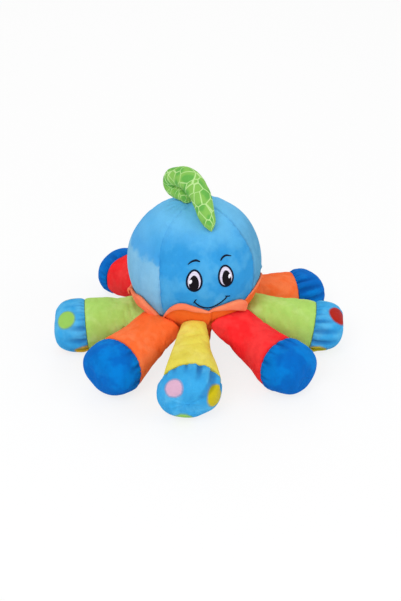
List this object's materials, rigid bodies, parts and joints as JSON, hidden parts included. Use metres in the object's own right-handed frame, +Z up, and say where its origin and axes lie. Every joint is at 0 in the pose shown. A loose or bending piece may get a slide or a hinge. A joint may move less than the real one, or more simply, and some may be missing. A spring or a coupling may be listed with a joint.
{
  "type": "plush octopus",
  "caption": "Stuffed plush octopus with a ball head, embroidered face, printed curl on the crown, petal collar, belly cushion, and sewn-on stuffed legs with gathered feet.",
  "frame": {"origin": "middle of the belly's flat underside, on the surface that the toy rests on", "axes": "+Z up through the middle of the head, the face looks along -Y, +X to the right of someone who looks at the face"},
  "size_m": [0.3466, 0.3413, 0.235],
  "materials": {
    "blue_plush": "short-pile velour with a soft sheen",
    "dark_blue_plush": "short-pile velour, gathered at the seam",
    "dotted_plush": "short-pile velour printed with round dots",
    "orange_plush": "short-pile velour",
    "collar_cloth": "lined satin-backed velour",
    "yellow_plush": "short-pile velour",
    "red_plush": "short-pile velour",
    "green_plush": "short-pile velour",
    "printed_cloth": "printed woven cloth, stuffed tight",
    "white_thread": "satin-stitch embroidery",
    "dark_thread": "satin-stitch embroidery",
    "fibre_filling": "loose polyester fibre"
  },
  "bodies": {
    "root": {"head_filling": "fibre_filling", "face_panel": "blue_plush", "right_side_panel": "blue_plush", "left_side_panel": "blue_plush", "back_panel": "blue_plush", "left_eye": "white_thread", "left_pupil": "dark_thread", "right_eye": "white_thread", "right_pupil": "dark_thread", "left_brow": "dark_thread", "right_brow": "dark_thread", "mouth": "dark_thread", "petal_1": "collar_cloth", "petal_2": "collar_cloth", "petal_3": "collar_cloth", "petal_4": "collar_cloth", "petal_5": "collar_cloth", "petal_6": "collar_cloth", "petal_7": "collar_cloth", "petal_8": "collar_cloth", "belly_cover": "orange_plush", "belly_filling": "fibre_filling"},
    "curl": {"curl_cover": "printed_cloth", "curl_filling": "fibre_filling"},
    "leg_1": {"leg_1_sleeve": "red_plush", "leg_1_foot_cap": "dark_blue_plush", "leg_1_filling": "fibre_filling"},
    "leg_2": {"leg_2_sleeve": "green_plush", "leg_2_foot_cap": "dotted_plush", "leg_2_filling": "fibre_filling"},
    "leg_3": {"leg_3_sleeve": "orange_plush", "leg_3_foot_cap": "dark_blue_plush", "leg_3_filling": "fibre_filling"},
    "leg_4": {"leg_4_sleeve": "yellow_plush", "leg_4_foot_cap": "dotted_plush", "leg_4_filling": "fibre_filling"},
    "leg_5": {"leg_5_sleeve": "red_plush", "leg_5_foot_cap": "dark_blue_plush", "leg_5_filling": "fibre_filling"},
    "leg_6": {"leg_6_sleeve": "green_plush", "leg_6_foot_cap": "dotted_plush", "leg_6_filling": "fibre_filling"},
    "leg_7": {"leg_7_sleeve": "orange_plush", "leg_7_foot_cap": "dark_blue_plush", "leg_7_filling": "fibre_filling"},
    "leg_8": {"leg_8_sleeve": "yellow_plush", "leg_8_foot_cap": "dotted_plush", "leg_8_filling": "fibre_filling"}
  },
  "joints": [
    {"name": "leg_1_root", "type": "hinge", "parent": "root", "child": "leg_1", "pos_m": [-0.02572, 0.05915, 0.0551], "axis": [0.9171, 0.3987, 0], "range_deg": [-25, 30]},
    {"name": "leg_2_root", "type": "hinge", "parent": "root", "child": "leg_2", "pos_m": [-0.06362, 0.01065, 0.0551], "axis": [0.165, 0.9863, 0], "range_deg": [-25, 30]},
    {"name": "leg_3_root", "type": "hinge", "parent": "root", "child": "leg_3", "pos_m": [-0.05379, -0.0356, 0.0551], "axis": [-0.5519, 0.8339, 0], "range_deg": [-25, 30]},
    {"name": "leg_4_root", "type": "hinge", "parent": "root", "child": "leg_4", "pos_m": [-0.01832, -0.06184, 0.0551], "axis": [-0.9588, 0.284, 0], "range_deg": [-25, 30]},
    {"name": "leg_5_root", "type": "hinge", "parent": "root", "child": "leg_5", "pos_m": [0.03466, -0.0544, 0.0551], "axis": [-0.8434, -0.5373, 0], "range_deg": [-25, 30]},
    {"name": "leg_6_root", "type": "hinge", "parent": "root", "child": "leg_6", "pos_m": [0.06099, -0.021, 0.0551], "axis": [-0.3256, -0.9455, 0], "range_deg": [-25, 30]},
    {"name": "leg_7_root", "type": "hinge", "parent": "root", "child": "leg_7", "pos_m": [0.06258, 0.0156, 0.0551], "axis": [0.2419, -0.9703, 0], "range_deg": [-25, 30]},
    {"name": "leg_8_root", "type": "hinge", "parent": "root", "child": "leg_8", "pos_m": [0.02828, 0.05797, 0.0551], "axis": [0.8988, -0.4384, 0], "range_deg": [-25, 30]},
    {"name": "curl_swing", "type": "hinge", "parent": "root", "child": "curl", "pos_m": [-0.0095, 0.0015, 0.1927], "axis": [-0.119, 0.0189, 0.9927], "range_deg": [-25, 25], "stiffness_Nm_per_rad": 0.03}
  ]
}
